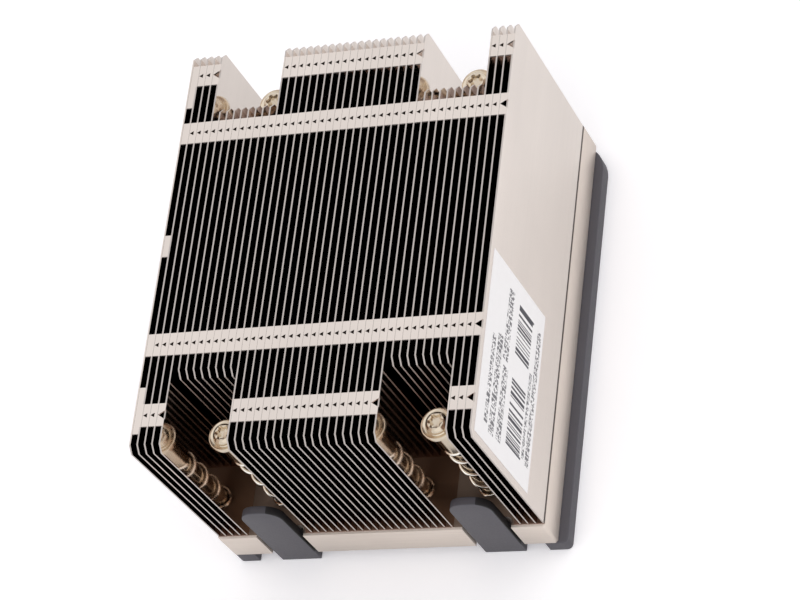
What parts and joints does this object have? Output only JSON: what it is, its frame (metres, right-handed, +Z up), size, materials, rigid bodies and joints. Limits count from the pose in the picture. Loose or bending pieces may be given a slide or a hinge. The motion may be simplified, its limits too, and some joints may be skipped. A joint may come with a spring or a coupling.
{
  "type": "passive server cpu heatsink",
  "caption": "Passive server processor cooler: folded sheet fins on a thick base plate, captive spring screws, a plastic cover with upright tabs under the base and a label.",
  "frame": {"origin": "middle of the four-screw pattern, on the contact face under the base plate", "axes": "+X across the fins, +Y along the fins (the way the air goes), +Z up, out of the board"},
  "size_m": [0.0914, 0.1136, 0.0684],
  "materials": {
    "fin": "smooth rolled sheet",
    "base": "milled",
    "cover": "moulded, fine matt grain",
    "label": "satin paper label",
    "screw": "bright nickel",
    "clip": "spring steel",
    "spring": "bright nickel wire"
  },
  "bodies": {
    "heatsink": {"fin_01": "fin", "fin_02": "fin", "fin_03": "fin", "fin_04": "fin", "fin_05": "fin", "fin_06": "fin", "fin_07": "fin", "fin_08": "fin", "fin_09": "fin", "fin_10": "fin", "fin_11": "fin", "fin_12": "fin", "fin_13": "fin", "fin_14": "fin", "fin_15": "fin", "fin_16": "fin", "fin_17": "fin", "fin_18": "fin", "fin_19": "fin", "fin_20": "fin", "fin_21": "fin", "fin_22": "fin", "fin_23": "fin", "fin_24": "fin", "fin_25": "fin", "fin_26": "fin", "fin_27": "fin", "fin_28": "fin", "fin_29": "fin", "fin_30": "fin", "fin_31": "fin", "fin_32": "fin", "fin_33": "fin", "fin_34": "fin", "fin_35": "fin", "fin_36": "fin", "fin_37": "fin", "fin_38": "fin", "fin_39": "fin", "fin_40": "fin", "fin_41": "fin", "fin_42": "fin", "fin_43": "fin", "fin_44": "fin", "fin_45": "fin", "base_plate": "base", "base_cover": "cover", "label": "label", "spring_front_left": "spring", "spring_front_right": "spring", "spring_back_left": "spring", "spring_back_right": "spring"},
    "clip_front_left": {"clip_front_left": "clip"},
    "screw_front_left": {"screw_front_left": "screw"},
    "clip_front_right": {"clip_front_right": "clip"},
    "screw_front_right": {"screw_front_right": "screw"},
    "clip_back_left": {"clip_back_left": "clip"},
    "screw_back_left": {"screw_back_left": "screw"},
    "clip_back_right": {"clip_back_right": "clip"},
    "screw_back_right": {"screw_back_right": "screw"}
  },
  "joints": [
    {"name": "press_front_left", "type": "slide", "parent": "heatsink", "child": "clip_front_left", "axis": [0, 0, -1], "range_m": [0, 0.0045], "stiffness_N_per_m": 2000, "springref_m": -0.003, "deforming": ["spring_front_left"]},
    {"name": "turn_front_left", "type": "hinge", "parent": "clip_front_left", "child": "screw_front_left", "pos_m": [-0.028, -0.047, 0.02], "axis": [0, 0, 1], "continuous": true},
    {"name": "press_front_right", "type": "slide", "parent": "heatsink", "child": "clip_front_right", "axis": [0, 0, -1], "range_m": [0, 0.0045], "stiffness_N_per_m": 2000, "springref_m": -0.003, "deforming": ["spring_front_right"]},
    {"name": "turn_front_right", "type": "hinge", "parent": "clip_front_right", "child": "screw_front_right", "pos_m": [0.028, -0.047, 0.02], "axis": [0, 0, 1], "continuous": true},
    {"name": "press_back_left", "type": "slide", "parent": "heatsink", "child": "clip_back_left", "axis": [0, 0, -1], "range_m": [0, 0.0045], "stiffness_N_per_m": 2000, "springref_m": -0.003, "deforming": ["spring_back_left"]},
    {"name": "turn_back_left", "type": "hinge", "parent": "clip_back_left", "child": "screw_back_left", "pos_m": [-0.028, 0.047, 0.02], "axis": [0, 0, 1], "continuous": true},
    {"name": "press_back_right", "type": "slide", "parent": "heatsink", "child": "clip_back_right", "axis": [0, 0, -1], "range_m": [0, 0.0045], "stiffness_N_per_m": 2000, "springref_m": -0.003, "deforming": ["spring_back_right"]},
    {"name": "turn_back_right", "type": "hinge", "parent": "clip_back_right", "child": "screw_back_right", "pos_m": [0.028, 0.047, 0.02], "axis": [0, 0, 1], "continuous": true}
  ]
}
